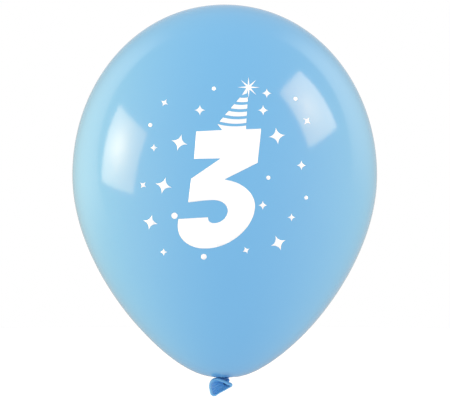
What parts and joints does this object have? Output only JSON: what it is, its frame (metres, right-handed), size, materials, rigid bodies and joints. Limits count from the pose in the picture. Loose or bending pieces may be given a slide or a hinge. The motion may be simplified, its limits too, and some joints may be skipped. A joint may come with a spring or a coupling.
{
  "type": "printed latex balloon",
  "caption": "Tied, air-filled pastel blue latex party balloon, drop shaped, printed in white with a numeral in a party hat among sparkles.",
  "frame": {"origin": "where the neck is tied, on the balloon's long axis at the level of the body's lowest point", "axes": "+Z along the long axis from the knot to the crown; the printed front faces -Y; +X is to the right as seen from the front"},
  "size_m": [0.3012, 0.3017, 0.3867],
  "materials": {
    "inflated_latex": "glossy stretched pastel latex, slightly translucent",
    "gathered_latex": "unstretched, wrinkled, deeper blue, satin",
    "rolled_latex": "smooth rolled bead, satin",
    "print_ink": "opaque flexible white screen-print ink, satin"
  },
  "bodies": {
    "envelope": {"balloon_skin": "inflated_latex", "printed_numeral": "print_ink", "hat_stripe_1": "print_ink", "hat_stripe_2": "print_ink", "hat_stripe_3": "print_ink", "hat_stripe_4": "print_ink", "hat_tip_star": "print_ink", "sparkle_large_1": "print_ink", "sparkle_large_2": "print_ink", "sparkle_large_3": "print_ink", "sparkle_large_4": "print_ink", "sparkle_large_5": "print_ink", "sparkle_small_1": "print_ink", "sparkle_small_2": "print_ink", "sparkle_small_3": "print_ink", "sparkle_small_4": "print_ink", "sparkle_small_5": "print_ink", "sparkle_small_6": "print_ink", "sparkle_small_7": "print_ink", "sparkle_small_8": "print_ink", "sparkle_small_9": "print_ink", "sparkle_small_10": "print_ink", "sparkle_small_11": "print_ink", "sparkle_small_12": "print_ink", "dot_1": "print_ink", "dot_2": "print_ink", "dot_3": "print_ink", "dot_4": "print_ink", "dot_5": "print_ink", "dot_6": "print_ink", "dot_7": "print_ink"},
    "neck_knot": {"neck": "gathered_latex", "knot": "gathered_latex"},
    "tail_end": {"tail": "gathered_latex", "rolled_rim": "rolled_latex"}
  },
  "joints": [
    {"name": "neck_twist", "type": "hinge", "parent": "envelope", "child": "neck_knot", "pos_m": [0, 0, 0], "axis": [0, 0, 1], "range_deg": [-90, 90], "stiffness_Nm_per_rad": 0.001},
    {"name": "tail_droop", "type": "hinge", "parent": "neck_knot", "child": "tail_end", "pos_m": [0.0002, -0.0028, -0.0064], "axis": [0, 1, 0], "range_deg": [-40, 0], "stiffness_Nm_per_rad": 0.001}
  ]
}
